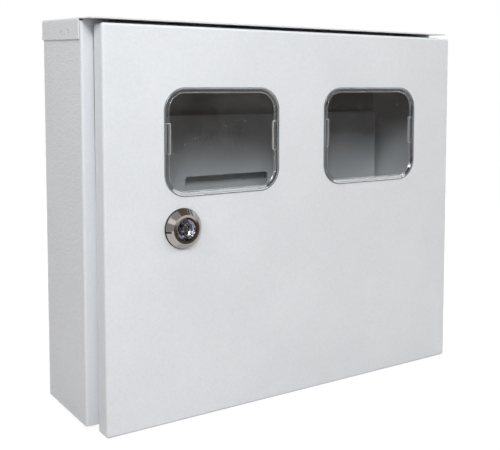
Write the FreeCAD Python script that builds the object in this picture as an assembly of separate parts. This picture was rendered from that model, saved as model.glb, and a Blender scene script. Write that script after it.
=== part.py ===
import FreeCAD, Part
import math
import os

# Electric meter box in folded steel sheet, hung on a wall.
# Millimetres. +X right, +Y into the wall, +Z up.
# Origin at the centre of the wall fixings, on the back face.

# Steel sheet, its folds and welded joints
sheet = 1.0
bend = 1.0
seam = 0.2

# Case
case_width = 347.0
case_depth = 80.0
lip_width = 22.0
lintel_height = 22.0
lintel_flange = 15.0
pan_flange = 12.0
corner_relief = 3.0

# Wall fixings, four round holes in the back, set in from the sides and ends
fixing_side = 43.5
fixing_end = 30.0
fixing_hole = 7.0

# Roof cap, falling towards the front and reaching out over the door
roof_slope = 2.2
cap_flange = 15.5
cap_setback = 2.0
rear_flange = 12.0
visor_gap = 2.6
visor_proud = 1.0

# Door pan, set in from the case's side at the lock and reaching past it at the hinges
door_inset = 8.4
door_overhang = 6.4
door_height = 300.0
door_depth = 16.0
door_gap = 2.0
door_drop = 5.0
door_corner = 2.2
free_return = 13.0
hinge_return = 23.0
bottom_return = 18.0
mouth_corner = 3.0

# Foam strip between the door and the case
gasket_width = 8.0
gasket_margin = 1.0
gasket_rest = 0.3

# Windows, clear inserts with a bevelled rim
window_width = 103.5
window_height = 82.5
window_corner = 18.0
window_gap = 46.0
window_shift = 2.0
window_top = 45.4
rim_proud = 1.2
rim_seat = 0.05
rim_round = 0.8
rim_flat = 1.0
rim_overlap = 1.0
bevel_width = 2.6
bevel_depth = 1.3
bead_width = 0.7
bead_height = 0.4
bead_round = 0.3
pane = 2.0
cutout_fit = 0.25
tongue_height = 24.0
tongue_raise = 3.0
tongue_depth = 5.0
tongue_wall = 1.2
tongue_lip = 1.2
pad_gap = 0.6
pad_reach = 1.2
barb = 0.8
barb_length = 2.4

# Quarter-turn lock, under the left window
lock_from_left = 63.2
lock_below = 23.5
bezel_width = 30.0
bezel_nose = 22.5
bezel_rim = 1.5
bezel_cone = 4.2
bezel_edge = 0.3
nose_dish = 0.15
seal_thick = 0.8
seal_lip = 0.4
barrel_width = 22.0
barrel_flats = 20.0
barrel_fit = 0.2
barrel_wall = 3.0
mark_width = 1.4
mark_depth = 1.0
mark_drop = 1.6
mark_reach = 2.9
plug_width = 18.0
plug_recess = 0.6
plug_chamfer = 1.1
plug_shank = 10.0
plug_square = 7.0
running = 0.05
end_play = 0.2
key_hole = 15.0
key_taper = 3.1
key_wing = 3.2
key_span = 17.0
key_depth = 6.5
key_pin = 4.5
key_pin_dip = 1.6
lock_nut_across = 27.0
lock_nut_thick = 6.0

# Cam of the lock
cam_clearance = 1.0
cam_thick = 2.0
cam_width = 14.0
cam_hub = 18.0
cam_hook = 6.5
cam_screw_width = 4.0
cam_screw_length = 7.0
cam_screw_across = 8.0
cam_screw_head = 3.5
cam_washer_width = 12.0
cam_washer_thick = 1.2

# Concealed hinges
hinge_in = 5.5
hinge_back = 7.0
hinge_inset = 55.0
hinge_pin = 4.0
hinge_barrel = 7.0
lug_height = 16.0
lug_root = 3.5
lug_set = 3.0
lug_notch = 1.0
bracket_sheet = 1.5
ear_thick = 2.0
ear_width = 17.0
ear_play = 0.3
pin_head = 6.5
pin_head_thick = 1.5
pin_tail = 1.5

# Meter plate
plate_sheet = 1.2
plate_standoff = 9.8
plate_margin = 6.5
plate_above = 75.7
plate_below = 100.0
plate_corner = 2.0
plate_hem = 7.4
wiring_width = 87.0
wiring_height = 56.0
wiring_top = 21.7
wiring_shift = -9.8
wiring_corner = 3.0
plate_hem_bend = 1.0
stud_side = 16.0
stud_end = 12.0
stud_pitch = 80.0

# Screws and nuts of size M6 and M5
stud_width = 6.0
stud_reach = 12.0
stud_hole = 6.6
washer_width = 12.0
washer_thick = 1.2
washer_hole = 6.4
nut_across = 10.0
nut_thick = 5.0
nut_fit = 0.1
spacer_width = 10.0
screw_width = 5.0
screw_head = 9.0
screw_head_thick = 2.5
screw_tail = 6.0
screw_nut_across = 8.0
screw_nut_thick = 4.0
screw_hole = 5.4

# Rail for the breakers
rail_side = 18.0
rail_up = 38.0
rail_width = 35.0
rail_base = 27.0
rail_rise = 7.5
rail_sheet = 1.0
rail_bend = 0.8
rail_slot = 15.0
rail_slot_width = 6.2
rail_pitch = 25.0

# Earthing points of the case and of the door, set in from the right side and the bottom
earth_side = 83.5
earth_up = 25.0
earth_reach = 18.0
door_earth_side = 49.9
door_earth_up = 30.0
door_earth_reach = 12.0

# Cable entries in the bottom
entry_hole = 22.5
entry_pitch = 60.0
entry_back = 42.0
grommet_fit = 0.2
grommet_collar = 4.0
grommet_thick = 3.0
grommet_skin = 1.0
grommet_mouth = 14.0

V = FreeCAD.Vector
ALONG_Y = V(0, 1, 0)
ALONG_Z = V(0, 0, 1)
FAR = 2.0 * (case_width + case_depth + door_height)

# Planes and edges that the pieces share
fold = bend + sheet
case_half = case_width / 2.0
inner_half = case_half - sheet
fixing_x = case_half - fixing_side
fixing_z = door_height / 2.0 - fixing_end
lip_y = -case_depth
door_back = lip_y - door_gap
door_front = door_back - door_depth
door_inside = door_front + sheet
visor_y = door_front - visor_proud
back_inside = -sheet
case_bottom = -fixing_z - fixing_end
door_bottom = case_bottom - door_drop
door_top = door_bottom + door_height
door_left = door_inset - case_half
door_right = case_half + door_overhang
window_foot = door_top - window_top - window_height
roof_foot = door_top + visor_gap
roof_tan = math.tan(math.radians(roof_slope))
roof_cos = math.cos(math.radians(roof_slope))
lip_edge = case_half - lip_width
hinge_x = door_right - hinge_in
hinge_y = door_front + hinge_back
hinge_levels = {"upper": door_top - hinge_inset, "lower": door_bottom + hinge_inset}
lock_x = door_left + lock_from_left
lock_z = window_foot - lock_below
cam_front = lip_y + sheet + cam_clearance
cam_back = cam_front + cam_thick
plate_back = back_inside - plate_standoff
plate_front = plate_back - plate_sheet
plate_half = inner_half - plate_margin
rail_half = plate_half - rail_side
rail_z = rail_up - plate_below


def roof_under(y):
    """Height of the roof's underside at depth y."""
    return roof_foot + (y - visor_y) * roof_tan


def on_roof(shape):
    """Lay a shape drawn along the roof on its slope. Its origin is the visor's lower front edge."""
    shape.rotate(V(0, 0, 0), V(1, 0, 0), roof_slope)
    shape.translate(V(0, visor_y, roof_foot))
    return shape


def block(x0, x1, y0, y1, z0, z1):
    return Part.makeBox(x1 - x0, y1 - y0, z1 - z0, V(x0, y0, z0))


def outline(place, u0, u1, v0, v1, radius):
    """Rectangle with round corners, drawn in the plane that place gives."""
    if radius <= 0:
        corners = [place(u0, v0), place(u1, v0), place(u1, v1), place(u0, v1), place(u0, v0)]
        return Part.makePolygon(corners)
    centres = [(u1 - radius, v1 - radius, 0), (u0 + radius, v1 - radius, 90),
               (u0 + radius, v0 + radius, 180), (u1 - radius, v0 + radius, 270)]
    edges = []
    last = None
    for u, v, start in centres:
        points = []
        for turn in (0, 45, 90):
            angle = math.radians(start + turn)
            points.append(place(u + radius * math.cos(angle), v + radius * math.sin(angle)))
        if last is not None and last.distanceToPoint(points[0]) > 1e-6:
            edges.append(Part.makeLine(last, points[0]))
        edges.append(Part.Arc(*points).toShape())
        last = points[2]
    first = edges[0].Vertexes[0].Point
    if last.distanceToPoint(first) > 1e-6:
        edges.append(Part.makeLine(last, first))
    return Part.Wire(edges)


def front_outline(y, x0, x1, z0, z1, radius):
    """Round-cornered rectangle that faces the front, at depth y."""
    return outline(lambda u, v: V(u, y, v), x0, x1, z0, z1, radius)


def slab(y0, y1, x0, x1, z0, z1, radius=0.0):
    """Plate that faces the front, from depth y0 to y1."""
    return Part.Face(front_outline(y0, x0, x1, z0, z1, radius)).extrude(V(0, y1 - y0, 0))


def column(z0, z1, x0, x1, y0, y1, radius):
    """Upright block with round upright edges."""
    wire = outline(lambda u, v: V(u, v, z0), x0, x1, y0, y1, radius)
    return Part.Face(wire).extrude(V(0, 0, z1 - z0))


def rod_y(x, z, width, y0, y1):
    return Part.makeCylinder(width / 2.0, y1 - y0, V(x, y0, z), ALONG_Y)


def rod_z(x, y, width, z0, z1):
    return Part.makeCylinder(width / 2.0, z1 - z0, V(x, y, z0), ALONG_Z)


def turned_y(profile, x, z):
    """Turn a profile of (radius, depth) points about the line through x, z along the depth."""
    points = [V(radius, depth, 0) for radius, depth in profile]
    face = Part.Face(Part.makePolygon(points + points[:1]))
    solid = face.revolve(V(0, 0, 0), ALONG_Y, 360)
    solid.translate(V(x, 0, z))
    return solid


def turned_z(profile, x, y):
    """Turn a profile of (radius, height) points about the upright line through x, y."""
    points = [V(radius, 0, height) for radius, height in profile]
    face = Part.Face(Part.makePolygon(points + points[:1]))
    solid = face.revolve(V(0, 0, 0), ALONG_Z, 360)
    solid.translate(V(x, y, 0))
    return solid


def prism_z(points, z0, z1):
    corners = [V(x, y, z0) for x, y in points]
    return Part.Face(Part.makePolygon(corners + corners[:1])).extrude(V(0, 0, z1 - z0))


def hexagon(x, z, across, y0, y1):
    """Six-sided head or nut with its outer corners turned off."""
    radius = across / math.sqrt(3.0)
    corners = []
    for side in range(7):
        angle = math.radians(60.0 * side)
        corners.append(V(x + radius * math.cos(angle), y0, z + radius * math.sin(angle)))
    prism = Part.Face(Part.makePolygon(corners)).extrude(V(0, y1 - y0, 0))
    slope = (radius - across / 2.0) * 0.6
    envelope = turned_y([(0, y0), (across / 2.0, y0), (radius, y0 + slope), (radius, y1 - slope),
                         (across / 2.0, y1), (0, y1)], x, z)
    return prism.common(envelope)


def nut(x, z, across, hole, y0, y1):
    return hexagon(x, z, across, y0, y1).cut(rod_y(x, z, hole, y0 - 1, y1 + 1))


def washer(x, z, width, hole, y0, y1):
    return rod_y(x, z, width, y0, y1).cut(rod_y(x, z, hole, y0 - 1, y1 + 1))


def stud(x, z, width, y0, y1):
    """Threaded stud whose free end, at y0, is chamfered."""
    radius = width / 2.0
    tip = radius * 0.25
    return turned_y([(0, y0), (radius - tip, y0), (radius, y0 + tip), (radius, y1), (0, y1)], x, z)


def round_edges(shape, radius, wanted):
    """Round the edges whose middle point satisfies wanted."""
    chosen = []
    for edge in shape.Edges:
        middle = edge.valueAt((edge.FirstParameter + edge.LastParameter) / 2.0)
        if wanted(middle):
            chosen.append(edge)
    return shape.makeFillet(radius, chosen)


def save(name, shape):
    if not shape.isValid():
        raise ValueError("%s is not a valid solid" % name)
    shape.exportStep("parts/%s.step" % name)


def fixing_points():
    """Centres of the wall fixings."""
    points = []
    for x in (-fixing_x, fixing_x):
        for z in (-fixing_z, fixing_z):
            points.append((x, z))
    return points


def above_roof(gap, x0=-FAR, x1=FAR):
    """All the space from a gap below the roof's underside upwards, between x0 and x1."""
    return on_roof(block(x0, x1, -FAR, FAR, -gap, FAR))


def case_shell():
    """Back, sides and front lips, folded from one sheet."""
    top = roof_under(0) + sheet
    outer = column(case_bottom, top, -case_half, case_half, lip_y, 0, fold)
    hollow = column(case_bottom, top, -inner_half, inner_half, lip_y + sheet, back_inside, bend)
    mouth = block(-lip_edge, lip_edge, lip_y - sheet, lip_y + fold, case_bottom, top)
    shell = outer.cut(hollow).cut(mouth).cut(above_roof(seam))
    shell = shell.cut(above_roof(seam + bend, -FAR, fold - case_half))
    shell = shell.cut(above_roof(seam + bend, case_half - fold, FAR))
    for x, z in fixing_points():
        shell = shell.cut(rod_y(x, z, fixing_hole, -fold, fold))
    return shell


def top_cap():
    """Roof and visor with flanges over the sides and one inside the back."""
    half = case_half + seam + sheet
    length = (sheet - visor_y) / roof_cos + sheet
    flange_start = (lip_y + fold - visor_y) / roof_cos
    flange_end = (-cap_setback - visor_y) / roof_cos
    across = lambda y: lambda u, v: V(u, y, v)
    outer = outline(across(0), -half, half, sheet - 2 * cap_flange, sheet, fold)
    inner = outline(across(0), sheet - half, half - sheet, -2 * cap_flange, 0, bend)
    cap = Part.Face(outer).extrude(V(0, length, 0)).cut(Part.Face(inner).extrude(V(0, length, 0)))
    cap = cap.cut(block(-FAR, FAR, -FAR, FAR, -FAR, sheet - cap_flange))
    cap = cap.cut(block(-FAR, FAR, -FAR, flange_start, -FAR, 0))
    cap = cap.cut(block(-FAR, FAR, flange_end, FAR, -FAR, 0))
    cap = on_roof(cap).cut(block(-FAR, FAR, 0, FAR, -FAR, FAR))
    rear = back_inside - seam
    rear_half = inner_half - corner_relief
    turn_down = block(-rear_half, rear_half, rear - sheet, rear,
                      roof_under(rear) - rear_flange, roof_under(rear - sheet) + sheet / 2.0)
    return cap.fuse(turn_down).removeSplitter()


def front_lintel():
    """Angle that closes the opening between the front lips, under the roof."""
    half = lip_edge - seam
    low = roof_under(lip_y) - lintel_height
    web = block(-half, half, lip_y, lip_y + sheet, low, roof_under(0))
    start = (lip_y - visor_y) / roof_cos
    flange = on_roof(block(-half, half, start - sheet, start + lintel_flange, -seam - sheet, -seam))
    front = block(-half, half, lip_y, FAR, low, FAR)
    lintel = web.cut(above_roof(seam)).fuse(flange.common(front)).removeSplitter()
    edge = roof_under(lip_y) - seam
    lintel = round_edges(lintel, fold, lambda p: p.y < lip_y + 0.01 and p.z > edge - 0.1 and abs(p.x) < 0.01)
    return round_edges(lintel, bend, lambda p: lip_y + sheet - 0.01 < p.y < lip_y + sheet + 0.01
                       and abs(p.z - edge + sheet) < 0.1 and abs(p.x) < 0.01)


def entry_points():
    """Centres of the cable entries, by name."""
    return {"left": -entry_pitch, "middle": 0.0, "right": entry_pitch}


def bottom_panel():
    """Pan folded up inside the case, with a front lip between the side lips."""
    half = inner_half - seam
    rear = back_inside - seam
    front = lip_y + sheet + seam
    tray = block(-half, half, front, rear, case_bottom, case_bottom + pan_flange)
    tray = round_edges(tray, fold, lambda p: p.z < case_bottom + 0.01 and p.y > front + 0.01)
    room = block(sheet - half, half - sheet, front - 1, rear - sheet, case_bottom + sheet, 0)
    pan = tray.cut(room)
    for x in (-half, half - corner_relief):
        for y in (front, rear - corner_relief):
            pan = pan.cut(block(x, x + corner_relief, y, y + corner_relief, case_bottom - 1, 0))
    lip_half = lip_edge - seam
    lip = block(-lip_half, lip_half, lip_y, front + fold, case_bottom, case_bottom + lip_width)
    lip = round_edges(lip, fold, lambda p: p.z < case_bottom + 0.01 and p.y < lip_y + 0.01)
    lip_room = block(-lip_half, lip_half, lip_y + sheet, front + 2 * fold, case_bottom + sheet, 0)
    pan = pan.fuse(lip.cut(lip_room)).removeSplitter()
    for x in entry_points().values():
        pan = pan.cut(rod_z(x, -entry_back, entry_hole, case_bottom - 1, case_bottom + fold))
    return pan


def cable_grommet(x):
    """Rubber grommet with a groove for the sheet and a thin skin that a cable is pushed through."""
    groove = entry_hole / 2.0 - grommet_fit
    collar = entry_hole / 2.0 + grommet_collar
    mouth = grommet_mouth / 2.0
    low = case_bottom - grommet_thick
    high = case_bottom + sheet + grommet_thick
    middle = case_bottom + sheet / 2.0
    soften = grommet_thick / 3.0
    return turned_z([(0, middle - grommet_skin / 2.0), (mouth, middle - grommet_skin / 2.0),
                     (mouth + soften, low), (collar - soften, low), (collar, low + soften),
                     (collar, case_bottom), (groove, case_bottom), (groove, case_bottom + sheet),
                     (collar, case_bottom + sheet), (collar, high - soften), (collar - soften, high),
                     (mouth + soften, high), (mouth, middle + grommet_skin / 2.0),
                     (0, middle + grommet_skin / 2.0)], x, -entry_back)


def stud_points():
    """Centres of the studs that carry the meter plate."""
    points = []
    low = stud_end - plate_below
    for x in (stud_side - plate_half, plate_half - stud_side):
        for z in (low, low + stud_pitch):
            points.append((x, z))
    return points


def rail_slots():
    """Middles of the slots in the rail."""
    count = int((rail_half - rail_slot / 2.0) / rail_pitch)
    return [step * rail_pitch for step in range(-count, count + 1)]


def rail_screw_points():
    """The screws go through the rail's first and last slot."""
    slots = rail_slots()
    return [(slots[0], rail_z), (slots[-1], rail_z)]


def meter_plate():
    """Plate with a hemmed top edge and a wiring cut-out."""
    half = plate_half
    plate = slab(plate_front, plate_back, -half, half, -plate_below, plate_above, plate_corner)
    hem = block(plate_corner - half, half - plate_corner, plate_front - plate_sheet, plate_front,
                plate_above - plate_hem, plate_above)
    hem = round_edges(hem, plate_hem_bend, lambda p: p.z > plate_above - 0.01 and p.y < plate_front - 0.01
                      and abs(p.x) < 0.01)
    plate = plate.fuse(hem).removeSplitter()
    left = wiring_shift - wiring_width / 2.0
    plate = plate.cut(slab(plate_front - 1, plate_back + 1, left, left + wiring_width,
                           wiring_top - wiring_height, wiring_top, wiring_corner))
    for x, z in stud_points():
        plate = plate.cut(rod_y(x, z, stud_hole, plate_front - 1, plate_back + 1))
    for x, z in rail_screw_points():
        plate = plate.cut(rod_y(x, z, screw_hole, plate_front - 1, plate_back + 1))
    return plate


def plate_fixings():
    """Studs on the back wall, spacers behind the plate, washers and nuts in front of it."""
    groups = {"plate_studs": [], "plate_spacers": [], "plate_washers": [], "plate_nuts": []}
    washer_front = plate_front - washer_thick
    nut_front = washer_front - nut_thick
    for x, z in stud_points():
        groups["plate_studs"].append(stud(x, z, stud_width, plate_front - stud_reach, back_inside))
        groups["plate_spacers"].append(washer(x, z, spacer_width, washer_hole, plate_back, back_inside))
        groups["plate_washers"].append(washer(x, z, washer_width, washer_hole, washer_front, plate_front))
        groups["plate_nuts"].append(nut(x, z, nut_across, stud_width + 2 * nut_fit,
                                        nut_front, washer_front))
    return groups


def din_rail():
    """Hat-section rail with a row of slots in its base."""
    base = rail_base / 2.0
    edge = rail_width / 2.0
    section = [(0, base), (rail_rise - rail_sheet, base), (rail_rise - rail_sheet, edge),
               (rail_rise, edge), (rail_rise, base - rail_sheet), (rail_sheet, base - rail_sheet)]
    below = [(rise, -side) for rise, side in reversed(section)]
    points = [V(-rail_half, plate_front - rise, rail_z + side) for rise, side in section + below]
    rail = Part.Face(Part.makePolygon(points + points[:1])).extrude(V(2 * rail_half, 0, 0))
    rail = round_edges(rail, rail_bend + rail_sheet, at_corner([section[0], section[4]]))
    rail = round_edges(rail, rail_bend, at_corner([section[1], section[5]]))
    for x in rail_slots():
        rail = rail.cut(slab(plate_front - rail_rise, plate_front + 1,
                             x - rail_slot / 2.0, x + rail_slot / 2.0,
                             rail_z - rail_slot_width / 2.0, rail_z + rail_slot_width / 2.0,
                             rail_slot_width / 2.0))
    return rail


def at_corner(corners):
    """Tells whether a point lies on one of the rail section's corners, given as (rise, side)."""
    def wanted(p):
        rise = plate_front - p.y
        side = abs(p.z - rail_z)
        near = [abs(rise - corner[0]) + abs(side - corner[1]) < 0.01 for corner in corners]
        return any(near) and abs(p.x) < 0.01
    return wanted


def rail_fixings():
    """Pan-head screws through the rail and the plate, with nuts behind."""
    seat = plate_front - rail_sheet
    head = screw_head / 2.0
    crown = seat - screw_head_thick
    shank = screw_width / 2.0
    tail = plate_back + screw_tail
    screws = []
    nuts = []
    for x, z in rail_screw_points():
        screws.append(turned_y([(0, crown), (head * 0.7, crown), (head, crown + screw_head_thick * 0.5),
                                (head, seat), (shank, seat), (shank, tail), (0, tail)], x, z))
        nuts.append(nut(x, z, screw_nut_across, screw_width + 2 * nut_fit,
                        plate_back, plate_back + screw_nut_thick))
    return {"din_rail_screws": screws, "din_rail_nuts": nuts}


def earth_point(x, z, wall, reach):
    """Stud welded to a wall at depth wall and pointing to the front or the back, washer and nut."""
    side = 1 if reach > 0 else -1
    washer_end = wall + side * washer_thick
    nut_end = washer_end + side * nut_thick
    bolt = stud(x, z, stud_width, wall - abs(reach), wall)
    if side > 0:
        bolt.rotate(V(x, wall, z), ALONG_Z, 180)
    return {"stud": bolt,
            "washer": washer(x, z, washer_width, washer_hole, min(wall, washer_end), max(wall, washer_end)),
            "nut": nut(x, z, nut_across, stud_width + 2 * nut_fit,
                       min(washer_end, nut_end), max(washer_end, nut_end))}


def hinge_lug(level):
    """Lug welded to the right lip, with a barrel for the hinge pin."""
    low = level - lug_height / 2.0
    high = level + lug_height / 2.0
    radius = hinge_barrel / 2.0
    root = hinge_x - lug_set
    arm = prism_z([(root - lug_root, lip_y), (root, lip_y), (hinge_x, hinge_y + radius),
                   (hinge_x, hinge_y), (hinge_x - radius, hinge_y)], low, high)
    lug = arm.fuse(rod_z(hinge_x, hinge_y, hinge_barrel, low, high)).removeSplitter()
    return lug.cut(rod_z(hinge_x, hinge_y, hinge_pin + 2 * running, low - 1, high + 1))


def ear_heights(level):
    """Inner and outer faces of a bracket's ears, above and below the lug."""
    near = lug_height / 2.0 + ear_play
    return [(level + near, level + near + ear_thick), (level - near - ear_thick, level - near)]


def hinge_bracket(level):
    """Folded bracket on the inside of the door, with an ear above and below the lug."""
    (_, high), (low, _) = ear_heights(level)
    right = door_right - sheet - ear_play
    left = right - ear_width
    bracket = block(left, right, door_inside, door_inside + bracket_sheet, low, high)
    end = hinge_y + hinge_barrel / 2.0
    for z0, z1 in ear_heights(level):
        ear = column(z0, z1, left, right, door_inside - fold, end, right - hinge_x)
        bracket = bracket.fuse(ear.common(block(left, right, door_inside, end, z0, z1)))
    bracket = bracket.removeSplitter()
    return bracket.cut(rod_z(hinge_x, hinge_y, hinge_pin + 2 * running, low - 1, high + 1))


def pin_of_hinge(level):
    """Headed pin through both ears and the lug."""
    (_, high), (low, _) = ear_heights(level)
    radius = hinge_pin / 2.0
    head = pin_head / 2.0
    top = high + pin_head_thick
    return turned_z([(0, low - pin_tail), (radius * 0.6, low - pin_tail), (radius, low - pin_tail / 2.0),
                     (radius, high), (head, high), (head, high + pin_head_thick / 2.0),
                     (head * 0.7, top), (0, top)], hinge_x, hinge_y)


def window_boxes():
    """Left, right, bottom and top edges of each window's rim, by name."""
    middle = (door_left + door_right) / 2.0 + window_shift
    low = window_foot
    high = window_foot + window_height
    gap = window_gap / 2.0
    return {"left": (middle - gap - window_width, middle - gap, low, high),
            "right": (middle + gap, middle + gap + window_width, low, high)}


def inset(edges, by):
    """The same rectangle drawn in by a distance, with the corner radius that follows from it."""
    x0, x1, z0, z1 = edges
    return x0 + by, x1 - by, z0 + by, z1 - by, window_corner - by


def window(edges):
    """Clear insert: rim on the door's face, bevel and bead down to the pane, which fills the cut-out."""
    rim_front = door_front - rim_proud
    rim_back = door_front - rim_seat
    rim_in = rim_flat + bevel_width
    pane_front = rim_front + bevel_depth
    pane_back = pane_front + pane
    rim = slab(rim_front, rim_back, *inset(edges, 0))
    rim = round_edges(rim, rim_round, lambda p: p.y < rim_front + 0.01)
    body = rim.fuse(slab(rim_back, pane_back, *inset(edges, rim_overlap + cutout_fit))).removeSplitter()
    mouth = front_outline(rim_front, *inset(edges, rim_flat))
    floor = front_outline(pane_front, *inset(edges, rim_in))
    body = body.cut(Part.makeLoft([mouth, floor], True, True))
    bead_front = pane_front - bead_height
    bead = slab(bead_front, pane_front + pane / 2.0, *inset(edges, rim_in))
    bead = bead.cut(slab(bead_front - 1, pane_back, *inset(edges, rim_in + bead_width)))
    bead = round_edges(bead, bead_round, lambda p: p.y < bead_front + 0.01)
    return add_tongues(body.fuse(bead).removeSplitter(), edges, rim_front, pane_front, pane_back)


def add_tongues(body, edges, rim_front, pane_front, pane_back):
    """Open the rim at mid-height on both sides, with a raised pad there and a barbed tongue behind it."""
    x0, x1, z0, z1 = edges
    middle = (z0 + z1) / 2.0 + tongue_raise
    low = middle - tongue_height / 2.0
    high = middle + tongue_height / 2.0
    core = pane_front + pane / 2.0
    bead_front = pane_front - bead_height
    behind = door_inside + cutout_fit
    for edge, inward in ((x0, 1), (x1, -1)):
        near = edge + inward * tongue_lip
        far = edge + inward * (rim_flat + bevel_width + bead_width)
        body = body.cut(block(min(near, far), max(near, far), rim_front - 1, pane_front, low, high))
        near += inward * pad_gap
        far += inward * pad_reach
        pad = block(min(near, far), max(near, far), bead_front, core, low + pad_gap, high - pad_gap)
        body = body.fuse(round_edges(pad, bead_round, lambda p: p.y < bead_front + 0.01))
        face = edge + inward * (rim_overlap + cutout_fit)
        root = face + inward * tongue_wall
        tip = face - inward * barb
        points = [(root, core), (face, core), (face, behind), (tip, behind), (tip, behind + barb),
                  (face, behind + barb_length), (face, door_inside + tongue_depth),
                  (root, door_inside + tongue_depth)]
        body = body.fuse(prism_z(points, low, high))
    return body.removeSplitter()


def lock_hole(fit):
    """Round hole with two flats, larger than the lock's barrel by fit all round."""
    radius = barrel_width / 2.0 + fit
    flat = barrel_flats / 2.0 + fit
    hole = rod_y(lock_x, lock_z, 2 * radius, door_front - fold, lip_y + FAR)
    return hole.common(block(lock_x - flat, lock_x + flat, -FAR, FAR, lock_z - radius, lock_z + radius))


def door_panel():
    """Pan with its edges folded back and in again, cut out for the windows, lock and hinges."""
    pan = slab(door_front, door_back, door_left, door_right, door_bottom, door_top, door_corner)
    pan = round_edges(pan, fold, lambda p: p.y < door_front + 0.01 or p.y > door_back - 0.01)
    pan = pan.cut(slab(door_inside, door_back - sheet, door_left + sheet, door_right - sheet,
                       door_bottom + sheet, door_top - sheet, door_corner - sheet))
    pan = pan.cut(slab(door_back - fold, door_back + 1, *mouth_edges(), mouth_corner))
    for edges in window_boxes().values():
        pan = pan.cut(slab(door_front - 1, door_inside + fold, *inset(edges, rim_overlap)))
    pan = pan.cut(lock_hole(barrel_fit))
    notch = lug_height / 2.0 + lug_notch
    for level in hinge_levels.values():
        left = hinge_x - lug_set - lug_root - lug_notch
        pan = pan.cut(block(left, door_right + 1, door_inside + fold, door_back + 1,
                            level - notch, level + notch))
    return pan


def mouth_edges():
    """Inner edges of the door's return flanges."""
    return (door_left + free_return, door_right - hinge_return,
            door_bottom + bottom_return, door_top - free_return)


def door_gasket():
    """Foam strip on the back of the return flanges."""
    x0, x1, z0, z1 = mouth_edges()
    rest = lip_y - gasket_rest
    near = gasket_margin
    wide = gasket_margin + gasket_width
    ring = slab(door_back, rest, x0 - wide, x1 + wide, z0 - wide, z1 + wide, mouth_corner + wide)
    return ring.cut(slab(door_back - 1, rest + 1, x0 - near, x1 + near, z0 - near, z1 + near,
                         mouth_corner + near))


def lock_planes():
    """Depths of the bezel's base and nose and of the barrel's end."""
    base = door_front - seal_thick
    nose = base - bezel_rim - bezel_cone
    return base, nose, cam_front - end_play


def lock_seal():
    base, _, _ = lock_planes()
    return washer(lock_x, lock_z, bezel_width + 2 * seal_lip, barrel_width + 2 * barrel_fit,
                  base, door_front)


def lock_body():
    """Bezel with a conical face, and a barrel with two flats behind it."""
    base, nose, end = lock_planes()
    wide = bezel_width / 2.0
    narrow = bezel_nose / 2.0
    bore = plug_width / 2.0 + running
    neck = plug_shank / 2.0 + running
    barrel = barrel_width / 2.0
    cone_foot = base - bezel_rim
    step = end - barrel_wall
    body = turned_y([(bore, nose + nose_dish), (narrow - bezel_edge, nose), (narrow, nose + bezel_edge),
                     (wide - bezel_edge, cone_foot), (wide, cone_foot + bezel_edge), (wide, base),
                     (barrel, base), (barrel, end), (neck, end), (neck, step), (bore, step)],
                    lock_x, lock_z)
    flat = barrel_flats / 2.0
    for x0, x1 in ((lock_x - wide, lock_x - flat), (lock_x + flat, lock_x + wide)):
        body = body.cut(block(x0, x1, base, end + 1, lock_z - wide, lock_z + wide))
    outer = lock_x - wide - bezel_edge
    inner = lock_x - wide + mark_reach
    slope = bezel_cone / (wide - narrow)
    run = (inner - outer) * slope
    level = lock_z - mark_drop
    mark = prism_z([(outer, cone_foot + bezel_edge + mark_depth), (outer, cone_foot - bezel_cone),
                    (inner, cone_foot - bezel_cone), (inner, cone_foot + bezel_edge + mark_depth - run)],
                   level - mark_width / 2.0, level + mark_width / 2.0)
    return body.cut(mark)


def key_plug():
    """Plug with a tapered key recess, two wings and a centre pin; a square end carries the cam."""
    _, nose, end = lock_planes()
    front = nose + plug_recess
    head = plug_width / 2.0
    shank = plug_shank / 2.0
    shoulder = end - barrel_wall - end_play
    square = plug_square / 2.0
    plug = turned_y([(0, front), (head - plug_chamfer, front), (head, front + plug_chamfer),
                     (head, shoulder), (shank, shoulder), (shank, cam_front), (0, cam_front)],
                    lock_x, lock_z)
    stub = slab(cam_front - 1, cam_back - end_play / 2.0, lock_x - square, lock_x + square,
                lock_z - square, lock_z + square)
    plug = plug.fuse(stub).removeSplitter()
    floor = front + key_depth
    mouth = key_hole / 2.0
    throat = mouth - key_taper
    recess = turned_y([(0, front - 1), (mouth, front - 1), (mouth, front), (throat, front + key_taper),
                       (throat, floor), (0, floor)], lock_x, lock_z)
    wing = block(lock_x - key_wing / 2.0, lock_x + key_wing / 2.0, front - 1, floor,
                 lock_z - key_span / 2.0, lock_z + key_span / 2.0)
    recess = recess.fuse(wing).cut(rod_y(lock_x, lock_z, key_pin, front + key_pin_dip, floor))
    thread = rod_y(lock_x, lock_z, cam_screw_width + 2 * nut_fit, cam_back - cam_screw_length, cam_back)
    return plug.cut(recess).cut(thread)


def lock_cam():
    """Lever on the plug's square end. It hangs down when unlocked."""
    reach = lock_x + lip_edge + cam_hook
    half = cam_width / 2.0
    square = plug_square / 2.0 + running
    cam = slab(cam_front, cam_back, lock_x - half, lock_x + half, lock_z - reach, lock_z + half, half * 0.9)
    cam = cam.fuse(rod_y(lock_x, lock_z, cam_hub, cam_front, cam_back)).removeSplitter()
    return cam.cut(slab(cam_front - 1, cam_back + 1, lock_x - square, lock_x + square,
                        lock_z - square, lock_z + square))


def cam_fixings():
    """Washer and hexagon screw that hold the cam on the plug."""
    seat = cam_back + cam_washer_thick
    hole = cam_screw_width + 2 * nut_fit
    tip = cam_back - cam_screw_length + end_play
    screw = hexagon(lock_x, lock_z, cam_screw_across, seat, seat + cam_screw_head)
    screw = screw.fuse(rod_y(lock_x, lock_z, cam_screw_width, tip, seat + cam_screw_head / 2.0))
    return {"cam_washer": washer(lock_x, lock_z, cam_washer_width, hole, cam_back, seat),
            "cam_screw": screw.removeSplitter()}


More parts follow.
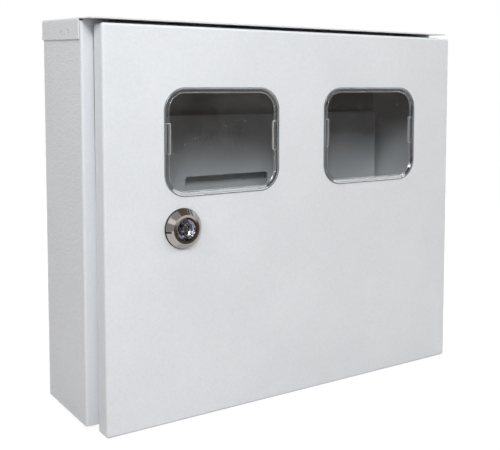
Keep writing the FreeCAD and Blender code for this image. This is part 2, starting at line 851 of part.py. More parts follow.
def build():
    """Every piece of the box, by node name."""
    pieces = {"case_shell": case_shell(), "top_cap": top_cap(), "front_lintel": front_lintel(),
              "bottom_panel": bottom_panel(), "meter_plate": meter_plate(), "din_rail": din_rail(),
              "door_panel": door_panel(), "door_gasket": door_gasket(), "lock_seal": lock_seal(),
              "lock_body": lock_body(), "key_plug": key_plug(), "lock_cam": lock_cam()}
    for group in (plate_fixings(), rail_fixings()):
        for name, solids in group.items():
            pieces[name] = Part.makeCompound(solids)
    pieces["lock_nut"] = nut(lock_x, lock_z, lock_nut_across, barrel_width + 2 * nut_fit,
                             door_inside, door_inside + lock_nut_thick)
    pieces.update(cam_fixings())
    for name, x in entry_points().items():
        pieces["cable_grommet_" + name] = cable_grommet(x)
    for name, level in hinge_levels.items():
        pieces["hinge_lug_" + name] = hinge_lug(level)
        pieces["hinge_bracket_" + name] = hinge_bracket(level)
        pieces["hinge_pin_" + name] = pin_of_hinge(level)
    for name, edges in window_boxes().items():
        pieces["window_" + name] = window(edges)
    case_earth = earth_point(case_half - earth_side, case_bottom + earth_up, back_inside, -earth_reach)
    for name, solid in case_earth.items():
        pieces["earth_" + name] = solid
    door_earth = earth_point(door_right - door_earth_side, door_bottom + door_earth_up,
                             door_inside, door_earth_reach)
    for name, solid in door_earth.items():
        pieces["door_earth_" + name] = solid
    return pieces


os.makedirs("parts", exist_ok=True)
for node, solid in build().items():
    save(node, solid)
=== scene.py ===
"""Electric meter box: finishes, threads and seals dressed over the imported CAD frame.

Metres, in the CAD frame: +X right, +Y into the wall, +Z up, origin at the wall fixings.
"""
import math

import bmesh
import bpy
import numpy as np
from bpy.props import FloatProperty, FloatVectorProperty, PointerProperty
from mathutils import Matrix, Vector


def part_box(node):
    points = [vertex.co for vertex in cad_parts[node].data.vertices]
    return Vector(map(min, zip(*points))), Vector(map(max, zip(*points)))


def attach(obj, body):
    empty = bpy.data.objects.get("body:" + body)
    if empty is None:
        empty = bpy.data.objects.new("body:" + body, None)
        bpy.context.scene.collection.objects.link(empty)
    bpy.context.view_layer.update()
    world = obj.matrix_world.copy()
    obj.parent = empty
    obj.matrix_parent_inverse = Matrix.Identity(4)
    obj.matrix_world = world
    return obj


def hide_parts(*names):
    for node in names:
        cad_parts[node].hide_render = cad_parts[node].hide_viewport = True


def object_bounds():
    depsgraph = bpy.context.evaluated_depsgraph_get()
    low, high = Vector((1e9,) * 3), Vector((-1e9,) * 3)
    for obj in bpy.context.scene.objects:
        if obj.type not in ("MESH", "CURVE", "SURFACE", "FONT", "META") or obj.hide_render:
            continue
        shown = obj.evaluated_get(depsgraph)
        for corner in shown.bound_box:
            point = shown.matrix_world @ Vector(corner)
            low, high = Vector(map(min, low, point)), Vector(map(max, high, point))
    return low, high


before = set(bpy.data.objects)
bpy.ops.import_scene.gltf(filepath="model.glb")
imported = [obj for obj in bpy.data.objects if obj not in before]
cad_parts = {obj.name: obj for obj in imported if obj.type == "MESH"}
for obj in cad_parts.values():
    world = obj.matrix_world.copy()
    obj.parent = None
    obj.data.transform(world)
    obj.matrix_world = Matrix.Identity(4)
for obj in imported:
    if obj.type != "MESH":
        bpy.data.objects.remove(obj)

bl_info = {
    "name": "Electric Meter Box",
    "version": (1, 0, 0),
    "blender": (4, 5, 0),
    "location": "View3D > Sidebar > Meter Box",
    "description": "Finishes and fine detail for a wall-hung steel meter box",
    "category": "Object",
}

MM = 0.001
CAD_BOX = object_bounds()

PAINTED = ("case_shell", "top_cap", "front_lintel", "bottom_panel", "meter_plate", "door_panel",
           "hinge_lug_upper", "hinge_lug_lower", "hinge_bracket_upper", "hinge_bracket_lower")
CLEAR = ("window_left", "window_right")
CHROMED = ("lock_body", "key_plug")
PLATED = ("plate_spacers", "plate_washers", "plate_nuts", "din_rail", "din_rail_nuts",
          "earth_washer", "earth_nut", "hinge_pin_upper", "hinge_pin_lower", "lock_nut",
          "door_earth_washer", "door_earth_nut", "lock_cam", "cam_washer", "cam_screw")
RUBBER = ("lock_seal", "cable_grommet_left", "cable_grommet_middle", "cable_grommet_right")

# Corners of the room inside the case, the heights above which its walls get a painted shade and
# below which they keep the full paint colour, and how far from the middle the outer sides begin.
ROOM = (Vector((-164, -97.1, -148.9)) * MM, Vector((172.4, -0.4, 143.9)) * MM)
SHADED_ABOVE, UNSHADED_BELOW = 90 * MM, 15 * MM
SIDE_FACE = 173 * MM

# Spot welds on the sides: spacing in depth, place in each half spacing, heights, and radii.
WELD_PITCH = 50 * MM
WELD_OFFSET = 7 * MM
WELD_HEIGHTS = (-144 * MM, 140 * MM)
WELD_FLAT, WELD_RIM = 1.4 * MM, 3.0 * MM

# Window: corner allowance, a reach in metres past any depth, then lines measured inwards from the
# outline, then the side pads, and how much of the bead and the pads' edges is frosted.
ROUND_IN = 18 * MM
ANY_DEPTH = 1.0
BEAD_LINE = 3.95 * MM
BEVEL_START, BEVEL_FULL = 3.4 * MM, 3.2 * MM
EDGE_START, EDGE_FULL = 0.8 * MM, 0.6 * MM
PAD_INSET, PAD_RISE = 3.65 * MM, 3 * MM
PAD_HALF = Vector((1.2 * MM, ANY_DEPTH, 10.75 * MM))
PAD_LINE = 0.65 * MM
BEAD_FROST, PAD_FROST = 0.14, 0.38
FROST_FULL, FROST_END = 0.25 * MM, 0.45 * MM

# Lock: depths of the key recess, middle and half width of its ring, and the index mark.
RECESS_FRONT, RECESS_BACK = 0.4 * MM, 9 * MM
RECESS_MIDDLE, RECESS_FULL, RECESS_END = 4.8 * MM, 2.7 * MM, 2.8 * MM
MARK_LENGTH, MARK_DROP, MARK_HALF = 2.9 * MM, 1.6 * MM, 0.72 * MM

# Threads of the studs and rail screws, the screws' heads and how far a thread reaches into its
# head, and the poured bead.
STUD_WIDTH, STUD_PITCH = 6 * MM, 1 * MM
SCREW_WIDTH, SCREW_PITCH = 5 * MM, 0.8 * MM
HEAD_WIDTH, HEAD_HEIGHT, HEAD_LAP = 9 * MM, 2.5 * MM, 0.5 * MM
BEAD_WIDTH, BEAD_CORNER = 8 * MM, 12 * MM

# Cards that the chrome and the windows mirror: name, colour, strength, centre, width and height.
MIRROR_CARDS = (
    ("flag_cloth_brown", "6A5F57", 1.0, (0.45, -0.58, 0.10), (0.95, 0.25, 0), (0, 0, 0.51)),
    ("flag_cloth_above", "80746A", 1.0, (0.45, -0.25, 1.10), (1.10, 0, 0), (0, 0.60, 0)),
    ("flag_grey_above", "C4C2C2", 1.0, (-0.55, -0.45, 1.10), (0.90, 0, 0), (0, 0.50, 0)),
    ("flag_grey_left", "B8B6B6", 1.0, (-0.70, -0.36, 0.05), (0, 0.40, 0), (0, 0, 0.40)),
    ("card_pale", "F6F0FB", 1.6, (-0.70, -0.42, 0.43), (0, 0.40, 0), (0, 0, 0.34)),
)

# Lamps: name, power setting, place, aim, direction of the width, width by height, shows in mirrors.
LAMPS = (
    ("key_lamp", "key_power", (-0.50, -0.80, 0.60), (0, -0.05, 0),
     (1, 0, 0), (0.3, 0.3), True),
    ("side_strip", "side_power", (-1.05, -0.45, 0.70), (-0.1, -0.05, 0.05),
     (1, -1, 0), (0.12, 0.65), False),
    ("top_strip", "strip_power", (1.45, -1.52, 1.41), (0, -0.1, 0.03),
     (0.53, 0.13, -0.13), (2.3, 0.55), True),
    ("fill_lamp", "fill_power", (0.30, -1.50, 0.50), (0, -0.1, 0),
     (1, 0, 0), (0.5, 0.5), True),
    ("back_lamp", "back_power", (1.20, 1.15, 0.85), (0, 0, 0),
     (1, -1, 0), (0.8, 0.8), True),
)

FLOOR_WIDTH = 2.0
FLOOR_GAP = 0.2 * MM
CAMERA_PLACE = (-0.38997, -0.63058, 0.09910)
CAMERA_YAW = math.radians(33.205)
CAMERA_PITCH = math.radians(4.036)
CAMERA_SHIFT = -0.16


def linear(code):
    """Linear colour with alpha 1 from an sRGB hex code such as E3E7EA."""
    channels = [int(code[i:i + 2], 16) / 255.0 for i in (0, 2, 4)]
    return (*(c / 12.92 if c <= 0.04045 else ((c + 0.055) / 1.055) ** 2.4 for c in channels), 1.0)


def add(tree, kind, inputs=None, **settings):
    """Add a node, give it its settings, and link its inputs to outputs or set them to values."""
    node = tree.nodes.new(kind)
    for key, value in settings.items():
        if key in node.bl_rna.properties:
            setattr(node, key, value)
        else:
            node.inputs[key.replace("_", " ")].default_value = value
    for key, value in (inputs or {}).items():
        if isinstance(value, bpy.types.NodeSocket):
            tree.links.new(value, node.inputs[key])
        else:
            node.inputs[key].default_value = value
    return node


def new_material(name):
    """Empty node material and its tree."""
    material = bpy.data.materials.new(name)
    material.use_nodes = True
    material.node_tree.nodes.clear()
    return material, material.node_tree


def dress(names, material):
    """Give CAD nodes a finish through their material slots."""
    for name in names:
        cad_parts[name].material_slots[0].material = material


def past_box(tree, place, low, high):
    """Distance by which a point lies outside a box, and 0 inside it."""
    low, high = Vector(low), Vector(high)
    centred = add(tree, "ShaderNodeVectorMath", {0: place, 1: (low + high) / 2},
                  operation="SUBTRACT")
    folded = add(tree, "ShaderNodeVectorMath", {0: centred.outputs[0]}, operation="ABSOLUTE")
    past = add(tree, "ShaderNodeVectorMath", {0: folded.outputs[0], 1: (high - low) / 2},
               operation="SUBTRACT")
    outer = add(tree, "ShaderNodeVectorMath", {0: past.outputs[0], 1: (0, 0, 0)},
                operation="MAXIMUM")
    reach = add(tree, "ShaderNodeVectorMath", {0: outer.outputs[0]}, operation="LENGTH")
    return reach.outputs["Value"]


def weld_dimples(tree, axes, sides):
    """1 in the spot welds and 0 elsewhere: rows on the outer sides at two heights.

    The depth is folded at every half spacing, so the welds stand in pairs.
    """
    folded = add(tree, "ShaderNodeMath", {0: axes.outputs["Y"], 1: WELD_PITCH / 2},
                 operation="PINGPONG")
    spot = add(tree, "ShaderNodeCombineXYZ", {"X": folded.outputs[0], "Y": axes.outputs["Z"]})
    lower, upper = (add(tree, "ShaderNodeVectorMath",
                        {0: spot.outputs[0], 1: (WELD_OFFSET, height, 0)}, operation="DISTANCE")
                    for height in WELD_HEIGHTS)
    nearest = add(tree, "ShaderNodeMath",
                  {0: lower.outputs["Value"], 1: upper.outputs["Value"]}, operation="MINIMUM")
    dimple = add(tree, "ShaderNodeMapRange", {"Value": nearest.outputs[0]},
                 interpolation_type="SMOOTHSTEP", From_Min=WELD_FLAT, From_Max=WELD_RIM,
                 To_Min=1.0, To_Max=0.0)
    return add(tree, "ShaderNodeMath", {0: dimple.outputs[0], 1: sides.outputs[0]},
               operation="MULTIPLY").outputs[0]


def powder_coat(paint):
    """Polyester powder coat, sprayed dry and baked: satin light grey with a fine orange peel.

    A broad drift of tone shows where the coat is thicker. High up inside the case a darker tone is
    painted on as shade. Spot welds leave faint round dimples low on the sides and on the cap's
    flanges.
    """
    material, tree = new_material("powder_coat_satin")
    place = add(tree, "ShaderNodeTexCoord").outputs["Object"]
    axes = add(tree, "ShaderNodeSeparateXYZ", {0: place})
    width = add(tree, "ShaderNodeMath", {0: axes.outputs["X"]}, operation="ABSOLUTE")
    sides = add(tree, "ShaderNodeMath", {0: width.outputs[0], 1: SIDE_FACE},
                operation="GREATER_THAN")
    drift = add(tree, "ShaderNodeTexNoise", {"Vector": place}, Scale=1.0 / paint.drift_size,
                Detail=2.0)
    # On the sides the peel is drawn coarser and deeper, because it is too fine to show there.
    drawn = add(tree, "ShaderNodeMapping", {"Vector": place}, Scale=(1.0, 0.4, 1.0))
    peel = add(tree, "ShaderNodeTexNoise", {"Vector": drawn.outputs[0]},
               Scale=1.0 / paint.peel_size, Detail=2.0, Roughness=0.45)
    relief = add(tree, "ShaderNodeMapRange", {"Value": sides.outputs[0]},
                 To_Min=paint.peel_depth, To_Max=3 * paint.peel_depth)
    mottle = add(tree, "ShaderNodeMath", {0: drift.outputs[0], 1: peel.outputs[0]},
                 operation="ADD")
    tone = add(tree, "ShaderNodeMapRange", {"Value": mottle.outputs[0]},
               From_Min=0.7, From_Max=1.3)
    colour = add(tree, "ShaderNodeMix", {"Factor": tone.outputs[0], "A": (*paint.shade, 1.0),
                                         "B": (*paint.tint, 1.0)}, data_type="RGBA")
    # Painted shade: inside the case the colour turns to the darker inside tone towards the top.
    outside = add(tree, "ShaderNodeMapRange", {"Value": past_box(tree, place, *ROOM)},
                  From_Min=0.0, From_Max=0.3 * MM)
    low_down = add(tree, "ShaderNodeMapRange", {"Value": axes.outputs["Z"]},
                   From_Min=SHADED_ABOVE, From_Max=UNSHADED_BELOW)
    unshaded = add(tree, "ShaderNodeMath", {0: outside.outputs[0], 1: low_down.outputs[0]},
                operation="MAXIMUM")
    coat = add(tree, "ShaderNodeMix", {"Factor": unshaded.outputs[0], "A": (*paint.inside, 1.0),
                                       "B": colour.outputs["Result"]}, data_type="RGBA")
    gloss = add(tree, "ShaderNodeMapRange", {"Value": peel.outputs[0]}, To_Min=0.30, To_Max=0.42)
    bump = add(tree, "ShaderNodeBump",
               {"Height": peel.outputs[0], "Distance": relief.outputs[0]}, Strength=0.6)
    dent = add(tree, "ShaderNodeBump",
               {"Height": weld_dimples(tree, axes, sides), "Normal": bump.outputs[0]},
               Strength=1.0, Distance=paint.weld_depth, invert=True)
    skin = add(tree, "ShaderNodeBsdfPrincipled",
               {"Base Color": coat.outputs["Result"], "Roughness": gloss.outputs[0],
                "Normal": dent.outputs[0]}, IOR=1.5)
    add(tree, "ShaderNodeOutputMaterial", {"Surface": skin.outputs[0]})
    return material


def clear_polycarbonate(name, window):
    """Injection-moulded polycarbonate: clear, faintly grey, with a little dust and a few specks.

    A frosted bead runs round the pane. The bevel outside it has a darker tint as painted shade, and
    its dull, half-opaque outer edge a grey tone painted on as a shadow line. All lie at set
    distances inside the round-cornered outline of the window's box. The edges of the two side pads
    are frosted too.
    """
    material, tree = new_material("clear_polycarbonate_" + name)
    low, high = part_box(name)
    place = add(tree, "ShaderNodeTexCoord").outputs["Object"]
    haze = add(tree, "ShaderNodeTexNoise", {"Vector": place}, Scale=1.0 / window.haze_size,
               Detail=4.0)
    gloss = add(tree, "ShaderNodeMapRange", {"Value": haze.outputs[0]},
                From_Min=0.4, From_Max=0.8, To_Min=0.0, To_Max=0.06)
    dust = add(tree, "ShaderNodeTexNoise", {"Vector": place}, Scale=1.0 / window.dust_size,
               Detail=6.0, Roughness=0.7)
    veil = add(tree, "ShaderNodeMapRange", {"Value": dust.outputs[0]},
               From_Min=0.45, From_Max=0.75, To_Min=0.0, To_Max=0.02)
    # Specks are the middles of a few cells of a flat pattern across the pane.
    axes = add(tree, "ShaderNodeSeparateXYZ", {0: place})
    upright = add(tree, "ShaderNodeCombineXYZ", {"X": axes.outputs["X"], "Y": axes.outputs["Z"]})
    cells = add(tree, "ShaderNodeTexVoronoi", {"Vector": upright.outputs[0]},
                voronoi_dimensions="2D", Scale=1.0 / window.speck_spacing)
    dot = add(tree, "ShaderNodeMapRange", {"Value": cells.outputs["Distance"]},
              From_Min=0.03, From_Max=0.06, To_Min=0.25, To_Max=0.0)
    lot = add(tree, "ShaderNodeSeparateColor", {0: cells.outputs["Color"]})
    chosen = add(tree, "ShaderNodeMath", {0: lot.outputs[0], 1: 0.86}, operation="GREATER_THAN")
    specks = add(tree, "ShaderNodeMath", {0: dot.outputs[0], 1: chosen.outputs[0]},
                 operation="MULTIPLY")
    matt = add(tree, "ShaderNodeMath", {0: veil.outputs[0], 1: specks.outputs[0]},
               operation="MAXIMUM")
    inset = Vector((ROUND_IN, -ANY_DEPTH, ROUND_IN))
    reach = past_box(tree, place, low + inset, high - inset)
    bands = [(reach, ROUND_IN - BEAD_LINE, BEAD_FROST)]
    middle = (low + high) / 2
    for x in (low.x + PAD_INSET, high.x - PAD_INSET):
        pad = Vector((x, middle.y, middle.z + PAD_RISE))
        outline = past_box(tree, place, pad - PAD_HALF, pad + PAD_HALF)
        bands.append((outline, PAD_LINE, PAD_FROST))
    for distance, line, share in bands:
        off = add(tree, "ShaderNodeMath", {0: distance, 1: line}, operation="SUBTRACT")
        gap = add(tree, "ShaderNodeMath", {0: off.outputs[0]}, operation="ABSOLUTE")
        frost = add(tree, "ShaderNodeMapRange", {"Value": gap.outputs[0]}, From_Min=FROST_FULL,
                    From_Max=FROST_END, To_Min=share, To_Max=0.0)
        matt = add(tree, "ShaderNodeMath", {0: matt.outputs[0], 1: frost.outputs[0]},
                   operation="MAXIMUM")
    # Painted shade: a darker tint on the bevel, and a grey tone on the outer edge as a shadow line.
    edge = add(tree, "ShaderNodeMapRange", {"Value": reach},
               From_Min=ROUND_IN - EDGE_START, From_Max=ROUND_IN - EDGE_FULL)
    bevel = add(tree, "ShaderNodeMapRange", {"Value": reach},
                From_Min=ROUND_IN - BEVEL_START, From_Max=ROUND_IN - BEVEL_FULL)
    tint = add(tree, "ShaderNodeMix", {"Factor": bevel.outputs[0], "A": (*window.pane, 1.0),
                                       "B": (*window.bevel, 1.0)}, data_type="RGBA")
    colour = add(tree, "ShaderNodeMix", {"Factor": edge.outputs[0], "A": tint.outputs["Result"],
                                         "B": (*window.edge, 1.0)}, data_type="RGBA")
    matt_and_edge_shade = add(tree, "ShaderNodeMath", {0: edge.outputs[0], 1: 0.55, 2: matt.outputs[0]},
                 operation="MULTIPLY_ADD")
    clear = add(tree, "ShaderNodeMapRange", {"Value": matt_and_edge_shade.outputs[0]}, To_Min=1.0, To_Max=0.0)
    body = add(tree, "ShaderNodeBsdfPrincipled",
               {"Base Color": colour.outputs["Result"], "Roughness": gloss.outputs[0],
                "Transmission Weight": clear.outputs[0]}, IOR=1.58)
    # Lamp light and light off matt surfaces pass straight through, so the inside isn't left dark.
    path = add(tree, "ShaderNodeLightPath")
    lit = add(tree, "ShaderNodeMath",
              {0: path.outputs["Is Shadow Ray"], 1: path.outputs["Is Diffuse Ray"]},
              operation="MAXIMUM")
    passed = add(tree, "ShaderNodeBsdfTransparent", Color=linear("F2F3F3"))
    mix = add(tree, "ShaderNodeMixShader",
              {0: lit.outputs[0], 1: body.outputs[0], 2: passed.outputs[0]})
    add(tree, "ShaderNodeOutputMaterial", {"Surface": mix.outputs[0]})
    return material


def chrome_plate(lock):
    """Bright chrome over zinc die-casting: mirror-like, a little uneven, with an enamelled index
    mark.

    The ring round the key recess keeps the casting's dents and sparkles; its darker tone is painted
    shade.
    """
    material, tree = new_material("chrome_plated_zinc")
    place = add(tree, "ShaderNodeTexCoord").outputs["Object"]
    waves = add(tree, "ShaderNodeTexNoise", {"Vector": place}, Scale=1.0 / lock.wave_size,
                Detail=2.0)
    gloss = add(tree, "ShaderNodeMapRange", {"Value": waves.outputs[0]}, To_Min=0.04, To_Max=0.14)
    plug_low, plug_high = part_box("key_plug")
    axis = (plug_low + plug_high) / 2
    pit = past_box(tree, place, (axis.x, plug_low.y + RECESS_FRONT, axis.z),
                   (axis.x, plug_low.y + RECESS_BACK, axis.z))
    off = add(tree, "ShaderNodeMath", {0: pit, 1: RECESS_MIDDLE}, operation="SUBTRACT")
    gap = add(tree, "ShaderNodeMath", {0: off.outputs[0]}, operation="ABSOLUTE")
    ring_dents_and_shade = add(tree, "ShaderNodeMapRange", {"Value": gap.outputs[0]},
               From_Min=RECESS_FULL, From_Max=RECESS_END, To_Min=1.0, To_Max=0.0)
    dents = add(tree, "ShaderNodeTexNoise", {"Vector": place}, Scale=1.0 / lock.dent_size,
                Detail=1.0)
    bump = add(tree, "ShaderNodeBump", {"Height": dents.outputs[0], "Strength": ring_dents_and_shade.outputs[0]},
               Distance=lock.dent_depth)
    low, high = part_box("lock_body")
    axes = add(tree, "ShaderNodeSeparateXYZ", {0: place})
    rim = add(tree, "ShaderNodeMath", {0: axes.outputs["X"], 1: low.x + MARK_LENGTH},
              operation="LESS_THAN")
    slit = add(tree, "ShaderNodeMath", {0: axes.outputs["Z"], 1: (low.z + high.z) / 2 - MARK_DROP,
                                        2: MARK_HALF}, operation="COMPARE")
    mark = add(tree, "ShaderNodeMath", {0: rim.outputs[0], 1: slit.outputs[0]},
               operation="MULTIPLY")
    # Painted shade: the ring round the key recess takes the darker recess tone.
    plate = add(tree, "ShaderNodeMix", {"Factor": ring_dents_and_shade.outputs[0], "A": (*lock.chrome, 1.0),
                                        "B": (*lock.recess, 1.0)}, data_type="RGBA")
    colour = add(tree, "ShaderNodeMix", {"Factor": mark.outputs[0], "A": plate.outputs["Result"],
                                         "B": (*lock.enamel, 1.0)}, data_type="RGBA")
    bare = add(tree, "ShaderNodeMapRange", {"Value": mark.outputs[0]}, To_Min=1.0, To_Max=0.0)
    rough = add(tree, "ShaderNodeMath", {0: mark.outputs[0], 1: 0.4, 2: gloss.outputs[0]},
                operation="MULTIPLY_ADD")
    metal = add(tree, "ShaderNodeBsdfPrincipled",
                {"Base Color": colour.outputs["Result"], "Metallic": bare.outputs[0],
                 "Roughness": rough.outputs[0], "Normal": bump.outputs[0]})
    add(tree, "ShaderNodeOutputMaterial", {"Surface": metal.outputs[0]})
    return material


def zinc_plate(fittings):
    """Zinc-plated steel, bright passivated: pale blue-grey with a soft uneven lustre."""
    material, tree = new_material("zinc_plated_steel")
    place = add(tree, "ShaderNodeTexCoord").outputs["Object"]
    cloud = add(tree, "ShaderNodeTexNoise", {"Vector": place}, Scale=1.0 / fittings.cloud_size,
                Detail=4.0)
    colour = add(tree, "ShaderNodeMix", {"Factor": cloud.outputs[0], "A": (*fittings.shade, 1.0),
                                         "B": (*fittings.tint, 1.0)}, data_type="RGBA")
    gloss = add(tree, "ShaderNodeMapRange", {"Value": cloud.outputs[0]}, To_Min=0.24, To_Max=0.42)
    metal = add(tree, "ShaderNodeBsdfPrincipled",
                {"Base Color": colour.outputs["Result"], "Roughness": gloss.outputs[0]},
                Metallic=1.0)
    add(tree, "ShaderNodeOutputMaterial", {"Surface": metal.outputs[0]})
    return material


def black_rubber(seals):
    """Moulded EPDM rubber: near black, matte, with a dusty bloom."""
    material, tree = new_material("epdm_rubber_moulded")
    place = add(tree, "ShaderNodeTexCoord").outputs["Object"]
    bloom = add(tree, "ShaderNodeTexNoise", {"Vector": place}, Scale=1.0 / seals.bloom_size,
                Detail=5.0)
    colour = add(tree, "ShaderNodeMix", {"Factor": bloom.outputs[0], "A": (*seals.rubber, 1.0),
                                         "B": (*seals.bloom, 1.0)}, data_type="RGBA")
    bump = add(tree, "ShaderNodeBump", {"Height": bloom.outputs[0]}, Strength=0.3,
               Distance=0.1 * MM)
    rubber = add(tree, "ShaderNodeBsdfPrincipled",
                 {"Base Color": colour.outputs["Result"], "Normal": bump.outputs[0]},
                 Roughness=0.7)
    add(tree, "ShaderNodeOutputMaterial", {"Surface": rubber.outputs[0]})
    return material


def cell_foam(seals):
    """Foamed-in-place polyurethane seal: dark grey, matte, with fine open cells, darker in their
    middles as painted shade.
    """
    material, tree = new_material("polyurethane_foam_poured")
    place = add(tree, "ShaderNodeTexCoord").outputs["Object"]
    cells = add(tree, "ShaderNodeTexVoronoi", {"Vector": place}, Scale=1.0 / seals.cell_size)
    # Painted shade: darker in the middle of each cell, where the bump sinks it.
    colour = add(tree, "ShaderNodeMix",
                 {"Factor": cells.outputs["Distance"], "A": (*seals.foam, 1.0),
                  "B": (*seals.cell_wall, 1.0)}, data_type="RGBA")
    bump = add(tree, "ShaderNodeBump", {"Height": cells.outputs["Distance"]}, Strength=0.6,
               Distance=0.2 * MM)
    foam = add(tree, "ShaderNodeBsdfPrincipled",
               {"Base Color": colour.outputs["Result"], "Normal": bump.outputs[0]},
               Roughness=0.9)
    add(tree, "ShaderNodeOutputMaterial", {"Surface": foam.outputs[0]})
    return material


def grid_mesh(name, grids):
    """One mesh from grids of points, each rows by columns by 3 and joined into quads.

    Seams and poles are closed by merging their doubles, and the faces are turned outwards.
    """
    points = []
    quads = []
    start = 0
    for grid in grids:
        rows, columns = grid.shape[:2]
        index = start + np.arange(rows * columns).reshape(rows, columns)
        corners = [index[:-1, :-1], index[:-1, 1:], index[1:, 1:], index[1:, :-1]]
        quads.append(np.stack(corners, axis=-1).reshape(-1, 4))
        points.append(grid.reshape(-1, 3))
        start += rows * columns
    mesh = bpy.data.meshes.new(name)
    mesh.from_pydata(np.concatenate(points), [], np.concatenate(quads))
    shape = bmesh.new()
    shape.from_mesh(mesh)
    bmesh.ops.remove_doubles(shape, verts=shape.verts, dist=0.001 * MM)
    bmesh.ops.recalc_face_normals(shape, faces=shape.faces)
    shape.to_mesh(mesh)
    shape.free()
    return mesh


def turned(x, z, radius, depth, angle):
    """Points at a radius and an angle about the line through x, z along Y, at a depth along it."""
    return np.stack([x + radius * np.cos(angle), depth, z + radius * np.sin(angle)], axis=-1)


def threaded_rod(x, z, start, end, width, pitch):
    """Threaded rod along Y, from its root at start to its free end.

    The radius is half the width, less 0.6 of the pitch times a flattened triangle wave of depth
    over pitch minus turn. Both ends run down to the core by a chamfer, and a last row closes them.
    """
    rows_per_turn = 8
    columns = 28
    rows = int(abs(end - start) / pitch * rows_per_turn) + 1
    t, turn = np.meshgrid(np.linspace(0, 1, rows), np.linspace(0, 1, columns + 1), indexing="ij")
    depth = start + (end - start) * t
    wave = np.abs(2 * ((depth / pitch - turn) % 1) - 1)
    radius = width / 2 - 0.6 * pitch * np.clip(1.3 * wave - 0.15, 0, 1)
    to_end = np.minimum(t, 1 - t) * abs(end - start)
    radius = np.minimum(radius, width / 2 - 0.9 * pitch + to_end)
    radius[[0, -1]] = 0
    return turned(x, z, radius, depth, 2 * np.pi * turn)


def cross_head(x, z, crown, seat, width):
    """Pan head along Y: a dome of superellipse outline, sunk by a cross-shaped recess.

    The two parameters are the turn and the way from the axis over the dome, which ends at 0.8, down
    the rim to the seat, which it reaches at 0.97, and back to the axis under the head.
    """
    rows = 40
    columns = 96
    dome_end, rim_length = 0.8, 0.17
    t, turn = np.meshgrid(np.linspace(0, 1, rows), np.linspace(0, 2 * np.pi, columns + 1),
                          indexing="ij")
    half = width / 2
    radius = half * np.minimum(t / dome_end, 1)
    fall = 1 - (1 - (radius / half) ** 3.2) ** (1 / 2.2)
    rim = np.minimum((t - dome_end) / rim_length, 1)
    drop = (seat - crown) * np.where(t < dome_end, 0.55 * fall, 0.55 + 0.45 * rim)
    u, v = np.abs(radius * np.cos(turn)), np.abs(radius * np.sin(turn))
    arm = np.clip((0.17 * half - np.minimum(u, v)) / (0.06 * half), 0, 1)
    reach = np.clip((0.58 * half - np.maximum(u, v)) / (0.12 * half), 0, 1)
    depth = crown + drop + 0.55 * (seat - crown) * arm * reach
    radius[-1] = 0
    return turned(x, z, radius, depth, turn)


def foam_bead(low, high, width, corner):
    """Poured bead: a flattened arch carried round a rectangle with round corners.

    The height across is (1 - |u|^2.4)^(1/1.8), with u from -1 to 1 over the width, and it sways by
    up to 4 % on either side of 0.96 of the full height.
    """
    steps_round, steps_across = 700, 17
    turn = np.linspace(0, np.pi / 2, 13)
    centres = ((high.x - corner, high.z - corner), (low.x + corner, high.z - corner),
               (low.x + corner, low.z + corner), (high.x - corner, low.z + corner))
    knots = np.array([(x, z, angle + quarter * np.pi / 2)
                      for quarter, (x, z) in enumerate(centres) for angle in turn])
    knots = np.concatenate([knots, knots[:1] + (0, 0, 2 * np.pi)])
    middle = corner - width / 2
    line = knots[:, :2] + middle * np.stack([np.cos(knots[:, 2]), np.sin(knots[:, 2])], axis=-1)
    steps = np.linalg.norm(np.diff(line, axis=0), axis=1)
    length = np.concatenate([[0], np.cumsum(steps)])
    s = np.linspace(0, length[-1], steps_round)
    x, z, angle = (np.interp(s, length, knots[:, k])[:, None] for k in range(3))
    u = np.linspace(-1, 1, steps_across)
    across = np.concatenate([u, [-1]])
    rise = np.concatenate([(1 - np.abs(u) ** 2.4) ** (1 / 1.8), [0]])
    turns = 2 * np.pi * s[:, None] / length[-1]
    sway = 0.96 + 0.025 * np.sin(23 * turns) + 0.015 * np.sin(61 * turns + 1)
    reach = middle + across * width / 2
    return np.stack([x + reach * np.cos(angle), low.y + (high.y - low.y) * rise * sway,
                     z + reach * np.sin(angle)], axis=-1)


def flat_grid(centre, across, up):
    """Flat sheet: every point is centre + u * across + v * up, with u and v from -1/2 to 1/2."""
    u, v = np.meshgrid((-0.5, 0.5), (-0.5, 0.5))
    return np.array(centre) + u[..., None] * np.array(across) + v[..., None] * np.array(up)


def place_object(name, grids, material):
    """Object at the origin, smooth, with one material."""
    mesh = grid_mesh(name, grids)
    mesh.shade_smooth()
    mesh.materials.append(material)
    piece = bpy.data.objects.new(name, mesh)
    bpy.context.scene.collection.objects.link(piece)
    return piece


def stand_for(piece, node, body):
    """The piece rides on a body in the place of a CAD node and takes its finish."""
    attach(piece, body)
    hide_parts(node)


def seen_directly(tree):
    """1 for a ray that meets the stage from the eye, off a shiny surface or through glass.

    It is 0 for other light, and also for what a shiny surface behind a window sends out through the
    glass again.
    """
    path = add(tree, "ShaderNodeLightPath")
    shiny = add(tree, "ShaderNodeMath",
                {0: path.outputs["Is Glossy Ray"], 1: path.outputs["Is Transmission Ray"]},
                operation="MAXIMUM")
    seen = add(tree, "ShaderNodeMath", {0: path.outputs["Is Camera Ray"], 1: shiny.outputs[0]},
               operation="MAXIMUM")
    bounces = add(tree, "ShaderNodeMath",
                  {0: path.outputs["Glossy Depth"], 1: path.outputs["Transmission Depth"],
                   2: path.outputs["Diffuse Depth"]}, operation="MULTIPLY_ADD")
    fresh = add(tree, "ShaderNodeMath", {0: bounces.outputs[0], 1: 0.5}, operation="LESS_THAN")
    return add(tree, "ShaderNodeMath", {0: seen.outputs[0], 1: fresh.outputs[0]},
               operation="MULTIPLY").outputs[0]


